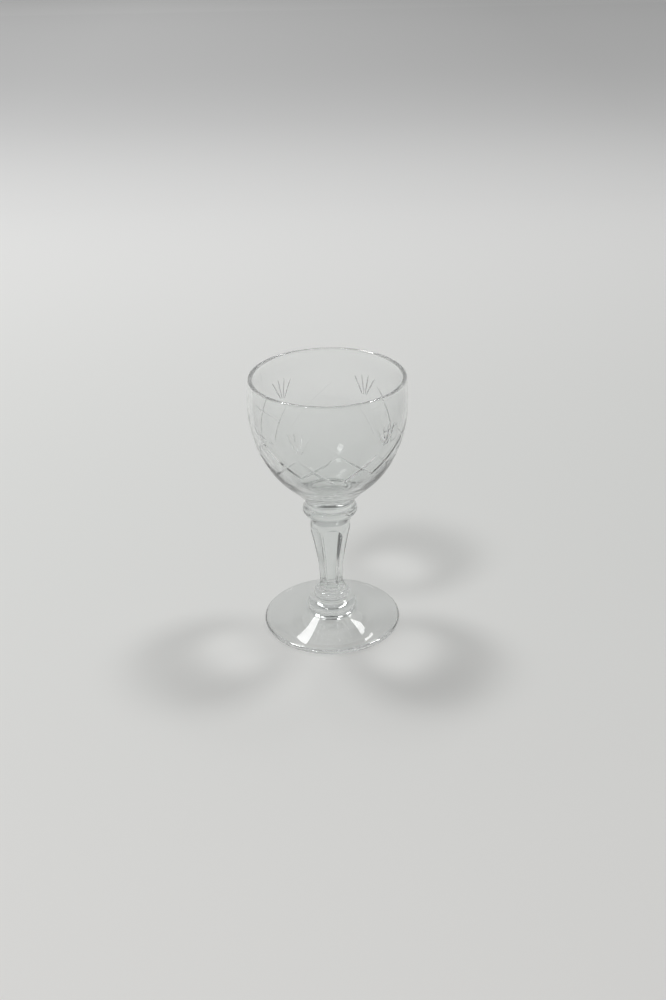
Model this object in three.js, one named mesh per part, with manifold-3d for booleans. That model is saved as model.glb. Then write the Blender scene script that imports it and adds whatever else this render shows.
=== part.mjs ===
// Schnapps glass with a hexagonal cut stem and a cut bowl. Millimetres, +Z up.
// The origin is the middle of the ring on which the foot rests.
// Seven pieces of clear glass stand on one another, joined hot on flat round faces:
// foot, base ring, base bead, stem, collar, neck bead and bowl.

import * as THREE from 'three';
import { mergeVertices } from 'three/addons/utils/BufferGeometryUtils.js';
import Module from 'manifold-3d';

const wasm = await Module();
wasm.setup();

// Foot
const FOOT_R = 21.9;
const FOOT_EDGE_T = 1.7; // thickness at the edge
const FOOT_SLOPE_RISE = 3; // rise of the top from the edge to the fillet
const FOOT_FILLET_H = 0.9; // rise of the fillet under the base ring
const FOOT_FILLET_W = 2.2;
const FOOT_REST_INSET = 1.6; // from the edge to the flat ring that rests on the table
const FOOT_REST_W = 2.6; // width of that ring
const FOOT_HOLLOW_H = 0.9; // rise of the underside inside it

// Radii of the round faces on which neighbours are joined, from the table up
const FOOT_SEAT_R = 7.6; // foot and base ring
const RING_SEAT_R = 4.9; // base ring and base bead
const STEM_SEAT_R = 4.45; // base bead and stem
const COLLAR_SEAT_R = 6.2; // stem and collar
const NECK_SEAT_R = 7.3; // collar and neck bead
const BOWL_SEAT_R = 7.55; // neck bead and bowl

// Rings and beads, by height and largest radius
const BASE_RING_H = 2.8;
const BASE_RING_R = 7.95;
const BASE_BEAD_H = 3.2;
const BASE_BEAD_R = 5.75;
const NECK_BEAD_H = 1.8;
const NECK_BEAD_R = 7.8;

// Collar: a straight cone below, a round edge above
const COLLAR_CONE_H = 2.8;
const COLLAR_CONE_R = 8; // where the cone meets the round edge
const COLLAR_EDGE_H = 2.4;
const COLLAR_R = 8.5;

// Stem: a round blank with flat panels ground into it
const STEM_H = 25.3;
const STEM_SIDES = 6;
const STEM_WAIST_R = 3.62; // over the corners, where the stem is thinnest
const STEM_WAIST_Z = 2.9; // height of the waist over the stem's lower end
const STEM_SHOULDER_H = 3.9; // height of the round shoulder under the collar
const STEM_TAPER = 1.7; // power of the taper from waist to shoulder
const STEM_BLANK_STOCK = 0.12; // blank over the corners, so that they stay sharp
const STEM_FLARE_H = 1.1; // height in which the blank's lower flare dies away
const PANEL_TOP_RUNOUT_R = 9; // arc with which a panel leaves the glass above
const PANEL_FOOT_RUNOUT_R = 2; // and below

// Bowl: a half ellipsoid below the belly, drawn in slightly above it
const BELLY_R = 24.05;
const BOWL_DROP = 32; // from the belly down to the ellipsoid's lowest point
const BOWL_LIFT = 1.1; // that point over the bowl's lower face
const RIM_RISE = 8; // from the belly up to the rim
const RIM_DRAW_IN = 0.59;
const WALL = 1.3;
const BOWL_BOTTOM_T = 2.2; // wall at the ellipsoid's lowest point
const FLARE_RISE = 6; // from that point up to where the flare joins the ellipsoid
const FLARE_BEND = 0.5; // how far the flare widens before it bends out

// Cuts in the bowl: heights are below the belly, angles from the middle of a fan, in degrees
const FANS = 6;
const FAN_CUTS = 4;
const FAN_ROOT_DROP = 7.2;
const FAN_MIDDLE_TIP_DROP = 0.05;
const FAN_OUTER_TIP_DROP = 0.7;
const FAN_SPREAD = 18; // between the outer tips
const FAN_ROOT_SPREAD = 3;
const FAN_CUT_W = 0.7;
const FAN_CUT_DEPTH = 0.2;
const LINE_W = 1.3;
const LINE_DEPTH = 0.22;
const LONG_LINE = { fromAngle: 17, fromDrop: 2.7, toAngle: 63, toDrop: 16.9, sag: 0.6 };
const SHORT_LINE = { fromAngle: -1, fromDrop: 9.2, toAngle: 28.5, toDrop: 18.3, sag: 0.2 };

// Facets
const ROUND_BIG = 72;
const ROUND_SMALL = 36;

// Derived heights
const FOOT_H = FOOT_EDGE_T + FOOT_SLOPE_RISE + FOOT_FILLET_H;
const COLLAR_H = COLLAR_CONE_H + COLLAR_EDGE_H;
const BELLY_Z = BOWL_LIFT + BOWL_DROP; // over the bowl's lower face
const BOWL_H = BELLY_Z + RIM_RISE;
const STEM_SHOULDER_Z = STEM_H - STEM_SHOULDER_H;

// Helpers

const point = (radius, height) => new THREE.Vector2(radius, height);
const radians = THREE.MathUtils.degToRad;
const lerp = THREE.MathUtils.lerp;

// Even steps from a to b, without a itself
const steps = (a, b, count) => Array.from({ length: count }, (_, i) => lerp(a, b, (i + 1) / count));

function glass(name, geometry) {
  const material = new THREE.MeshStandardMaterial({
    color: 0xe4eae8, roughness: 0.03, metalness: 0, transparent: true, opacity: 0.35,
  });
  const mesh = new THREE.Mesh(geometry, material);
  mesh.name = name;
  return mesh;
}

// Turns a profile of points about +Z, where LatheGeometry turns it about +Y
const turned = (profile, segments) => new THREE.LatheGeometry(profile, segments).rotateX(Math.PI / 2);

function toSolid(geometry) {
  const bare = geometry.clone();
  bare.deleteAttribute('normal');
  bare.deleteAttribute('uv');
  const merged = mergeVertices(bare, 1e-4);
  return new wasm.Manifold(new wasm.Mesh({
    numProp: 3,
    vertProperties: new Float32Array(merged.attributes.position.array),
    triVerts: new Uint32Array(merged.index.array),
  }));
}

function toGeometry(solid) {
  const mesh = solid.getMesh();
  const geometry = new THREE.BufferGeometry();
  geometry.setAttribute('position', new THREE.BufferAttribute(mesh.vertProperties, 3));
  geometry.setIndex(new THREE.BufferAttribute(mesh.triVerts, 1));
  geometry.computeVertexNormals();
  return geometry;
}

// A closed body through sections with equal numbers of corners, each section
// counter-clockwise when looked at from the end of the body
function lofted(sections) {
  const n = sections[0].length;
  const faces = [];
  for (let i = 0; i + 1 < sections.length; i++) {
    for (let j = 0; j < n; j++) {
      const [a, b] = [i * n + j, i * n + (j + 1) % n];
      faces.push(a, b, b + n, a, b + n, a + n);
    }
  }
  const last = (sections.length - 1) * n;
  for (let j = 1; j + 1 < n; j++) faces.push(0, j + 1, j, last, last + j, last + j + 1);
  const geometry = new THREE.BufferGeometry().setFromPoints(sections.flat());
  geometry.setIndex(faces);
  return geometry;
}

// Foot: a flat ring to rest on, a hollow inside it, a thin edge and a slope up to the seat

function footProfile() {
  const restOuterR = FOOT_R - FOOT_REST_INSET;
  const restInnerR = restOuterR - FOOT_REST_W;
  const filletR = FOOT_SEAT_R + FOOT_FILLET_W;
  const filletZ = FOOT_EDGE_T + FOOT_SLOPE_RISE;
  const slopeStart = point(FOOT_R - FOOT_EDGE_T, FOOT_EDGE_T);
  const slopeW = slopeStart.x - filletR;

  const hollow = new THREE.QuadraticBezierCurve(
    point(0, FOOT_HOLLOW_H), point(0.7 * restInnerR, FOOT_HOLLOW_H), point(restInnerR, 0));
  const lowerEdge = new THREE.QuadraticBezierCurve(
    point(restOuterR, 0), point(FOOT_R, 0), point(FOOT_R, FOOT_EDGE_T / 2));
  const upperEdge = new THREE.QuadraticBezierCurve(
    point(FOOT_R, FOOT_EDGE_T / 2), point(FOOT_R, 0.9 * FOOT_EDGE_T), slopeStart);
  const slope = new THREE.CubicBezierCurve(
    slopeStart,
    point(slopeStart.x - 0.35 * slopeW, FOOT_EDGE_T + 0.25 * FOOT_SLOPE_RISE),
    point(filletR + 0.35 * slopeW, FOOT_EDGE_T + 0.65 * FOOT_SLOPE_RISE),
    point(filletR, filletZ));
  const fillet = new THREE.QuadraticBezierCurve(
    point(filletR, filletZ),
    point(FOOT_SEAT_R + 0.35 * FOOT_FILLET_W, filletZ + 0.45 * FOOT_FILLET_H),
    point(FOOT_SEAT_R, FOOT_H));

  return [
    ...hollow.getPoints(3),
    ...lowerEdge.getPoints(2),
    ...upperEdge.getPoints(2).slice(1),
    ...slope.getPoints(4).slice(1),
    ...fillet.getPoints(2).slice(1),
    point(0, FOOT_H),
  ];
}

const foot = glass('foot', turned(footProfile(), ROUND_BIG));

// Beads: two quarter ellipses, from the lower seat out to the widest line and in again

function beadProfile(lowerSeatR, maxR, upperSeatR, height, widestZ) {
  const turns = steps(0, Math.PI / 2, 4);
  return [
    point(0, 0),
    point(lowerSeatR, 0),
    ...turns.map((a) => point(lerp(lowerSeatR, maxR, Math.sin(a)), widestZ * (1 - Math.cos(a)))),
    ...turns.map((a) => point(lerp(upperSeatR, maxR, Math.cos(a)), lerp(widestZ, height, Math.sin(a)))),
    point(0, height),
  ];
}

const baseRing = glass('base_ring', turned(
  beadProfile(FOOT_SEAT_R, BASE_RING_R, RING_SEAT_R, BASE_RING_H, 0.2 * BASE_RING_H), ROUND_SMALL));

const baseBead = glass('base_bead', turned(
  beadProfile(RING_SEAT_R, BASE_BEAD_R, STEM_SEAT_R, BASE_BEAD_H, 0.45 * BASE_BEAD_H), ROUND_SMALL));

const neckBead = glass('neck_bead', turned(
  beadProfile(NECK_SEAT_R, NECK_BEAD_R, BOWL_SEAT_R, NECK_BEAD_H, 0.5 * NECK_BEAD_H), ROUND_SMALL));

// Stem, with heights over its own lower end

// Radius over the corners between the panels
function cornerRadius(z) {
  const rise = Math.max(0, (z - STEM_WAIST_Z) / (STEM_SHOULDER_Z - STEM_WAIST_Z));
  return lerp(STEM_WAIST_R, COLLAR_SEAT_R, rise ** STEM_TAPER);
}

// From the axis to a panel: it follows the corners and leaves the glass on an arc at both ends
function panelDistance(z) {
  const above = Math.max(0, z - STEM_SHOULDER_Z);
  const below = Math.max(0, STEM_WAIST_Z - z);
  return cornerRadius(z) * Math.cos(Math.PI / STEM_SIDES)
    + above ** 2 / (2 * PANEL_TOP_RUNOUT_R) + below ** 2 / (2 * PANEL_FOOT_RUNOUT_R);
}

function blankRadius(z) {
  const overCorners = cornerRadius(z) + STEM_BLANK_STOCK;
  const flare = (STEM_SEAT_R - STEM_WAIST_R - STEM_BLANK_STOCK) * Math.exp(-z / STEM_FLARE_H);
  return Math.min(COLLAR_SEAT_R, overCorners + flare);
}

function hexagonAt(z, distance) {
  const r = distance / Math.cos(Math.PI / STEM_SIDES);
  return Array.from({ length: STEM_SIDES }, (_, i) => {
    const a = (i + 0.5) * 2 * Math.PI / STEM_SIDES - Math.PI / 2;
    return new THREE.Vector3(r * Math.cos(a), r * Math.sin(a), z);
  });
}

function stemSolid() {
  const levels = [
    0,
    ...steps(0, STEM_WAIST_Z, 6),
    ...steps(STEM_WAIST_Z, STEM_SHOULDER_Z, 8),
    ...steps(STEM_SHOULDER_Z, STEM_H, 5),
  ];
  const blank = turned(
    [point(0, 0), ...levels.map((z) => point(blankRadius(z), z)), point(0, STEM_H)], ROUND_SMALL);
  const overrun = 0.5; // the panel tool runs past both ends of the stem
  const panels = lofted([
    hexagonAt(-overrun, panelDistance(0)),
    ...levels.map((z) => hexagonAt(z, panelDistance(z))),
    hexagonAt(STEM_H + overrun, panelDistance(STEM_H)),
  ]);
  return toSolid(blank).intersect(toSolid(panels));
}

const stem = glass('stem', toGeometry(stemSolid()));

// Collar

function collarProfile() {
  const edge = new THREE.QuadraticBezierCurve(
    point(COLLAR_CONE_R, COLLAR_CONE_H),
    point(COLLAR_R, COLLAR_CONE_H + 0.25 * COLLAR_EDGE_H),
    point(COLLAR_R, COLLAR_CONE_H + 0.45 * COLLAR_EDGE_H));
  const top = new THREE.QuadraticBezierCurve(
    point(COLLAR_R, COLLAR_CONE_H + 0.45 * COLLAR_EDGE_H),
    point(COLLAR_R, COLLAR_H),
    point(NECK_SEAT_R, COLLAR_H));
  return [
    point(0, 0),
    point(COLLAR_SEAT_R, 0),
    ...edge.getPoints(3),
    ...top.getPoints(5).slice(1),
    point(0, COLLAR_H),
  ];
}

const collar = glass('collar', turned(collarProfile(), ROUND_SMALL));

// Bowl, with heights over its own lower face

const ellipsoidRadius = (z) => BELLY_R * Math.sqrt(1 - ((BELLY_Z - z) / BOWL_DROP) ** 2);
const drawnIn = (z) => RIM_DRAW_IN * ((z - BELLY_Z) / RIM_RISE) ** 2;

// From the seat on the neck out to the ellipsoid, which it meets along its tangent
function flareCurve() {
  const joinZ = BOWL_LIFT + FLARE_RISE;
  const joinR = ellipsoidRadius(joinZ);
  const slope = BELLY_R ** 2 * (BELLY_Z - joinZ) / (BOWL_DROP ** 2 * joinR);
  const bendR = BOWL_SEAT_R + FLARE_BEND;
  return new THREE.QuadraticBezierCurve(
    point(BOWL_SEAT_R, 0), point(bendR, joinZ - (joinR - bendR) / slope), point(joinR, joinZ));
}

function bowlProfile() {
  const joinAngle = Math.acos(1 - FLARE_RISE / BOWL_DROP); // from straight down
  const innerR = BELLY_R - WALL;
  const innerDrop = BOWL_DROP - BOWL_BOTTOM_T;
  const rimZ = BOWL_H - WALL / 2; // middle of the rounded rim
  const rimR = BELLY_R - drawnIn(rimZ) - WALL / 2;
  const upperLevels = steps(BELLY_Z, rimZ, 3).slice(0, -1);

  const outside = steps(joinAngle, Math.PI / 2, 9)
    .map((a) => point(BELLY_R * Math.sin(a), BELLY_Z - BOWL_DROP * Math.cos(a)));
  const rim = [0, ...steps(0, Math.PI, 4)]
    .map((a) => point(rimR + WALL / 2 * Math.cos(a), rimZ + WALL / 2 * Math.sin(a)));
  const inside = [Math.PI / 2, ...steps(Math.PI / 2, 0, 10)]
    .map((a) => point(innerR * Math.sin(a), BELLY_Z - innerDrop * Math.cos(a)));

  return [
    point(0, 0),
    ...flareCurve().getPoints(4),
    ...outside,
    ...upperLevels.map((z) => point(BELLY_R - drawnIn(z), z)),
    ...rim,
    ...upperLevels.toReversed().map((z) => point(innerR - drawnIn(z), z)),
    ...inside,
  ];
}

// A point of the bowl's outside, by its angle about the axis and its height below the belly
function onBowl(angle, drop) {
  const r = ellipsoidRadius(BELLY_Z - drop);
  return new THREE.Vector3(r * Math.cos(angle), r * Math.sin(angle), BELLY_Z - drop);
}

function bowlNormal(p) {
  return new THREE.Vector3(
    p.x / BELLY_R ** 2, p.y / BELLY_R ** 2, (p.z - BELLY_Z) / BOWL_DROP ** 2).normalize();
}

// The wheel's path through the glass: a V of the given width and depth, which runs out at both ends
function grooveTool(path, width, depth) {
  const clear = 0.5; // the tool's height over the glass
  const spread = width / 2 / depth;
  return lofted(path.map((p, i) => {
    const t = i / (path.length - 1);
    const bite = depth * (1 - 1.3 * (2 * t - 1) ** 6);
    const along = path[Math.min(i + 1, path.length - 1)].clone().sub(path[Math.max(i - 1, 0)]);
    const normal = bowlNormal(p);
    const side = along.cross(normal).normalize();
    const bottom = p.clone().addScaledVector(normal, -bite);
    const top = p.clone().addScaledVector(normal, clear);
    const half = spread * (clear + bite);
    return [bottom, top.clone().addScaledVector(side, -half), top.clone().addScaledVector(side, half)];
  }));
}

// A line on the bowl from one angle and drop to another, hanging by its sag in the middle
function linePath({ fromAngle, fromDrop, toAngle, toDrop, sag }, fanAngle, hand, count) {
  return [0, ...steps(0, 1, count)].map((t) => onBowl(
    fanAngle + hand * radians(lerp(fromAngle, toAngle, t)),
    lerp(fromDrop, toDrop, t) + sag * 4 * t * (1 - t)));
}

function fanPaths(fanAngle) {
  return Array.from({ length: FAN_CUTS }, (_, i) => {
    const k = i / (FAN_CUTS - 1) - 0.5; // across the fan, from -0.5 to 0.5
    const tipDrop = lerp(FAN_MIDDLE_TIP_DROP, FAN_OUTER_TIP_DROP, (2 * k) ** 2);
    return [0, ...steps(0, 1, 4)].map((t) => onBowl(
      fanAngle + radians(k * lerp(FAN_ROOT_SPREAD, FAN_SPREAD, t)), lerp(FAN_ROOT_DROP, tipDrop, t)));
  });
}

function bowlCuts() {
  const tools = [];
  for (let i = 0; i < FANS; i++) {
    const fanAngle = (i + 0.5) * 2 * Math.PI / FANS - Math.PI / 2;
    for (const hand of [-1, 1]) {
      tools.push(grooveTool(linePath(LONG_LINE, fanAngle, hand, 10), LINE_W, LINE_DEPTH));
      tools.push(grooveTool(linePath(SHORT_LINE, fanAngle, hand, 7), LINE_W, LINE_DEPTH));
    }
    for (const path of fanPaths(fanAngle)) {
      tools.push(grooveTool(path, FAN_CUT_W, FAN_CUT_DEPTH));
    }
  }
  return tools.map(toSolid).reduce((all, tool) => all.add(tool));
}

const bowlBlank = toSolid(turned(bowlProfile(), ROUND_BIG));
const bowl = glass('bowl', toGeometry(bowlBlank.subtract(bowlCuts())));

// The stack, each piece standing on the one before

const schnappsGlass = new THREE.Group();
let level = 0;
for (const [piece, height] of [
  [foot, FOOT_H], [baseRing, BASE_RING_H], [baseBead, BASE_BEAD_H], [stem, STEM_H],
  [collar, COLLAR_H], [neckBead, NECK_BEAD_H], [bowl, BOWL_H],
]) {
  piece.position.z = level;
  level += height;
  schnappsGlass.add(piece);
}

export default schnappsGlass;
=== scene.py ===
# %% [markdown]
# # A schnapps glass with a cut bowl
#
# This lesson dresses a small stemmed drinking glass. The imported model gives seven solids, which stand on
# one another: foot, ring, bead, stem, collar, neck bead and bowl. Their facets are fine for a collision
# model, but clear glass shows every facet twice, once in its mirror images and once in what it bends. So
# each solid gets a finely turned twin of the same size, and the twin stands for it.

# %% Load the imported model
import math

import bpy
import numpy as np
from mathutils import Matrix, Vector


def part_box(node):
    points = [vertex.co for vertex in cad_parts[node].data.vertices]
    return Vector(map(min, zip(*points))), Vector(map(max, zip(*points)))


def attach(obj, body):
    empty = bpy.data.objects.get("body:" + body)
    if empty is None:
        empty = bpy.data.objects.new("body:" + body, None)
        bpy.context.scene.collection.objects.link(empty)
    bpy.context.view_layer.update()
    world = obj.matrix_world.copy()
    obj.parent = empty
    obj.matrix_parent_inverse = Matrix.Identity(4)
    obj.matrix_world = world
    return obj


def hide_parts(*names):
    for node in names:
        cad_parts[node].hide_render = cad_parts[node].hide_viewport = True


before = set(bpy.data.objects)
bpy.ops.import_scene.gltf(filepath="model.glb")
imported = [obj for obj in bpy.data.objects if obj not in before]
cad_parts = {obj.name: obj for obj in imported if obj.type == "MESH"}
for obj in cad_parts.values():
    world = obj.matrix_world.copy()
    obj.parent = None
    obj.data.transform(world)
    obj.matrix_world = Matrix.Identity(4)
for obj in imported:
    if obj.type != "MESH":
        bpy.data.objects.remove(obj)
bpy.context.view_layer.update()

print("nodes:", sorted(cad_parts))

# %% [markdown]
# ## Sizes
#
# The sizes are the ones that the source of the solids uses, in millimetres, because that is how a glass
# maker reads them. Blender works in metres, so each mesh is scaled once, when it is made.

# %% Name the sizes
MM = 0.001

FOOT_R = 21.9
FOOT_EDGE_T = 1.7
FOOT_SLOPE_RISE = 3.0
FOOT_FILLET_H = 0.9
FOOT_FILLET_W = 2.2
FOOT_REST_INSET = 1.6
FOOT_REST_W = 2.6
FOOT_HOLLOW_H = 0.9

FOOT_SEAT_R = 7.6  # between foot and ring
RING_SEAT_R = 4.9  # between ring and bead
STEM_SEAT_R = 4.45  # between bead and stem
COLLAR_SEAT_R = 6.2  # between stem and collar
NECK_SEAT_R = 7.3  # between collar and neck bead
BOWL_SEAT_R = 7.55  # between neck bead and bowl

BASE_RING_H, BASE_RING_R = 2.8, 7.95
BASE_BEAD_H, BASE_BEAD_R = 3.2, 5.75
NECK_BEAD_H, NECK_BEAD_R = 1.8, 7.8
COLLAR_CONE_H, COLLAR_CONE_R = 2.8, 8.0
COLLAR_EDGE_H, COLLAR_R = 2.4, 8.5

STEM_H = 25.3
STEM_SIDES = 6
STEM_WAIST_R, STEM_WAIST_Z = 3.62, 2.9
STEM_SHOULDER_H = 3.9
STEM_TAPER = 1.7
STEM_BLANK_STOCK = 0.12
STEM_FLARE_H = 1.1
PANEL_TOP_RUNOUT_R = 9.0
PANEL_FOOT_RUNOUT_R = 2.0
PANEL_HOLLOW = 0.2

BELLY_R = 24.05
BOWL_DROP = 32.0
BOWL_LIFT = 1.1
RIM_RISE = 8.0
RIM_DRAW_IN = 0.59
WALL = 1.3
BOWL_BOTTOM_T = 2.2
FLARE_RISE = 6.0
FLARE_BEND = 0.5

FOOT_H = FOOT_EDGE_T + FOOT_SLOPE_RISE + FOOT_FILLET_H
RING_Z = FOOT_H
BEAD_Z = RING_Z + BASE_RING_H
STEM_Z = BEAD_Z + BASE_BEAD_H
COLLAR_Z = STEM_Z + STEM_H
NECK_Z = COLLAR_Z + COLLAR_CONE_H + COLLAR_EDGE_H
BOWL_Z = NECK_Z + NECK_BEAD_H
BELLY_Z = BOWL_Z + BOWL_LIFT + BOWL_DROP
RIM_Z = BELLY_Z + RIM_RISE

print("seats at", [round(z, 2) for z in (RING_Z, BEAD_Z, STEM_Z, COLLAR_Z, NECK_Z, BOWL_Z)])
print("rim at", round(RIM_Z, 2))

# %% [markdown]
# ## Helpers for nodes
#
# Materials, the room and the Geometry Nodes trees are all made of nodes. Placed one by one, a node takes
# four or five lines. So `wire` makes a node, sets it and feeds its sockets in one call, `calc` does one
# step of arithmetic, and `ramp` turns a value into a colour by way of a list of stops.

# %% Wire nodes together
def wire(tree, kind, feeds=(), **settings):
    """A new node with its settings, and with its sockets set or fed by index or name."""
    made = tree.nodes.new(kind)
    for key, value in settings.items():
        setattr(made, key, value)
    for key, value in dict(feeds).items():
        if isinstance(value, bpy.types.NodeSocket):
            tree.links.new(value, made.inputs[key])
        else:
            made.inputs[key].default_value = value
    return made


def calc(tree, operation, *values):
    return wire(tree, "ShaderNodeMath", enumerate(values), operation=operation).outputs[0]


def grey(share):
    return (share, share, share)


def ramp(tree, value, stops, unit=1.0, high=None, interpolation="LINEAR"):
    """The colour that belongs to a value. Each stop is (value, colour), counted in this unit. The scale
    runs from the first stop to the last, or to `high`."""
    low, high = stops[0][0], high or stops[-1][0]
    span = wire(tree, "ShaderNodeMapRange", {"Value": value, "From Min": low * unit, "From Max": high * unit})
    band = wire(tree, "ShaderNodeValToRGB", {0: span.outputs["Result"]})
    band.color_ramp.interpolation = interpolation
    placed = band.color_ramp.elements  # two stops are there from the start
    for i, (at, colour) in enumerate(stops):
        position = (at - low) / (high - low)
        stop = placed[i] if i < 2 else placed.new(position)
        stop.position, stop.color = position, (*colour, 1)
    return band.outputs["Color"]


print("helpers for nodes:", [helper.__name__ for helper in (wire, calc, ramp)])

# %% [markdown]
# ## The glass itself
#
# The real glass is clear with a breath of grey-green, which shows most where it is thick: in the stem,
# the beads and the bottom of the bowl. Volume absorption would give that by itself, at the price of slow
# renders, so here the tint is made deeper by height. The glass was blown and pressed hot, so its skin is
# a little wavy. A shader node group holds what all its surfaces share: the tint, with streaks that drift
# slightly, a polish that isn't quite even, and the height of the waves. The group gives out only these
# values. The Principled BSDF stays in each material, where the exporter can read it.

# %% Build the shared character of the glass
THICK_BY_HEIGHT = ((0, 0.3), (3.4, 0.4), (5, 1.0), (44, 1.0), (50, 0.6), (56, 0.3), (64, 0.1), (75, 0.0))
STREAK_SCALE, SCRATCH_SCALE = 35.0, 420.0


def blown_glass_group():
    group = bpy.data.node_groups.new("blown_glass_character", "ShaderNodeTree")
    for name, kind, value in (("Tint", "NodeSocketColor", (0.95, 0.96, 0.955, 1)),
                              ("Thick Tint", "NodeSocketColor", (0.88, 0.9, 0.9, 1)),
                              ("Drift", "NodeSocketFloat", 0.01),
                              ("Polish", "NodeSocketFloat", 0.0),
                              ("Dulling", "NodeSocketFloat", 0.02),
                              ("Wave Scale", "NodeSocketFloat", 60.0)):
        group.interface.new_socket(name, in_out="INPUT", socket_type=kind).default_value = value
    for name, kind in (("Color", "NodeSocketColor"), ("Roughness", "NodeSocketFloat"),
                       ("Height", "NodeSocketFloat")):
        group.interface.new_socket(name, in_out="OUTPUT", socket_type=kind)
    given = group.nodes.new("NodeGroupInput").outputs
    result = group.nodes.new("NodeGroupOutput").inputs
    place = group.nodes.new("ShaderNodeTexCoord").outputs["Object"]

    height = wire(group, "ShaderNodeSeparateXYZ", {0: place}).outputs["Z"]
    thick = ramp(group, height, [(z, grey(share)) for z, share in THICK_BY_HEIGHT], MM)
    tint = wire(group, "ShaderNodeMix", {0: thick, 6: given["Tint"], 7: given["Thick Tint"]},
                data_type="RGBA").outputs[2]
    streaks = wire(group, "ShaderNodeTexNoise", {"Vector": place, "Scale": STREAK_SCALE, "Detail": 2.0})
    streak = calc(group, "SUBTRACT", streaks.outputs["Fac"], 0.5)
    drift = calc(group, "MULTIPLY_ADD", streak, given["Drift"], 1.0)
    colour = wire(group, "ShaderNodeVectorMath", {0: tint, "Scale": drift}, operation="SCALE")
    group.links.new(colour.outputs[0], result["Color"])

    scratches = wire(group, "ShaderNodeTexNoise", {"Vector": place, "Scale": SCRATCH_SCALE, "Detail": 4.0})
    dull = wire(group, "ShaderNodeMapRange", {
        "Value": scratches.outputs["Fac"], "From Min": 0.55, "From Max": 0.8}).outputs["Result"]
    roughness = calc(group, "MULTIPLY_ADD", dull, given["Dulling"], given["Polish"])
    group.links.new(roughness, result["Roughness"])

    waves = wire(group, "ShaderNodeTexNoise", {"Vector": place, "Scale": given["Wave Scale"], "Detail": 1.0})
    group.links.new(waves.outputs["Fac"], result["Height"])
    return group


glass_character = blown_glass_group()
print("group puts out", [s.name for s in glass_character.interface.items_tree if s.in_out == "OUTPUT"])

# %% [markdown]
# ## Lamp light through the glass
#
# A bowl like this throws a shadow that is a ring: dark where the wall bends the light away, and bright in
# the middle. Cycles would find such light only after thousands of samples. So a ray that asks how much
# lamp light reaches the floor meets a Transparent shader in place of the glass. Its colour is the share
# of light that the wall lets pass on at each height. It is less where light grazes the wall, and a little
# more than all where light meets it squarely, for what the bowl gathers. The camera sees the true glass.

# %% Let lamp light through
CLEAR_BY_HEIGHT = ((40, 0.9), (46, 1.0), (49, 1.0), (54, 0.33), (62, 0.36), (66, 0.54), (70, 0.76),
                   (76, 0.98), (85, 1.0))
CLEAR_SQUARELY, CLEAR_GRAZING = 1.08, 0.8


def let_lamps_through(tree, glass):
    place = tree.nodes.new("ShaderNodeTexCoord").outputs["Object"]
    height = wire(tree, "ShaderNodeSeparateXYZ", {0: place}).outputs["Z"]
    passing = ramp(tree, height, [(z, grey(share)) for z, share in CLEAR_BY_HEIGHT], MM)
    grazing = wire(tree, "ShaderNodeLayerWeight", {"Blend": 0.5}).outputs["Facing"]
    edge = wire(tree, "ShaderNodeMapRange", {
        "Value": calc(tree, "POWER", grazing, 2.0), "To Min": CLEAR_SQUARELY, "To Max": CLEAR_GRAZING})
    colour = wire(tree, "ShaderNodeVectorMath", {0: passing, "Scale": edge.outputs["Result"]},
                  operation="SCALE")
    clear = wire(tree, "ShaderNodeBsdfTransparent", {"Color": colour.outputs[0]}).outputs[0]
    path = tree.nodes.new("ShaderNodeLightPath").outputs
    last = glass.outputs[0]
    for ray in ("Is Diffuse Ray", "Is Shadow Ray"):
        last = wire(tree, "ShaderNodeMixShader", {0: path[ray], 1: last, 2: clear}).outputs[0]
    tree.links.new(last, tree.nodes["Material Output"].inputs["Surface"])


print("least light passes", min(CLEAR_BY_HEIGHT, key=lambda stop: stop[1])[0], "mm above the table")

# %% [markdown]
# ## Three surfaces
#
# *Fire-polished* glass covers most of the object. The *cut* surfaces were ground and polished afterwards,
# so they are slightly rougher. Light that crosses a wall at a slant goes through more glass, so both take
# a deeper tint there, but not at the rounded rim. Where two pieces are melted together there is no
# surface at all in the real glass. Each piece stays a closed mesh, so its *seat* gets a plain white
# Transparent shader, which bends and mirrors nothing.

# %% Make the materials
GLASS_TINT, THICK_TINT = (0.978, 0.986, 0.983), (0.885, 0.91, 0.9)
TINT_DRIFT = 0.02
SLANT_TINT = 0.85
RIM_TINT_FROM, RIM_TINT_TO = 80, 83.5  # heights between which the tint by slant fades out


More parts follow.
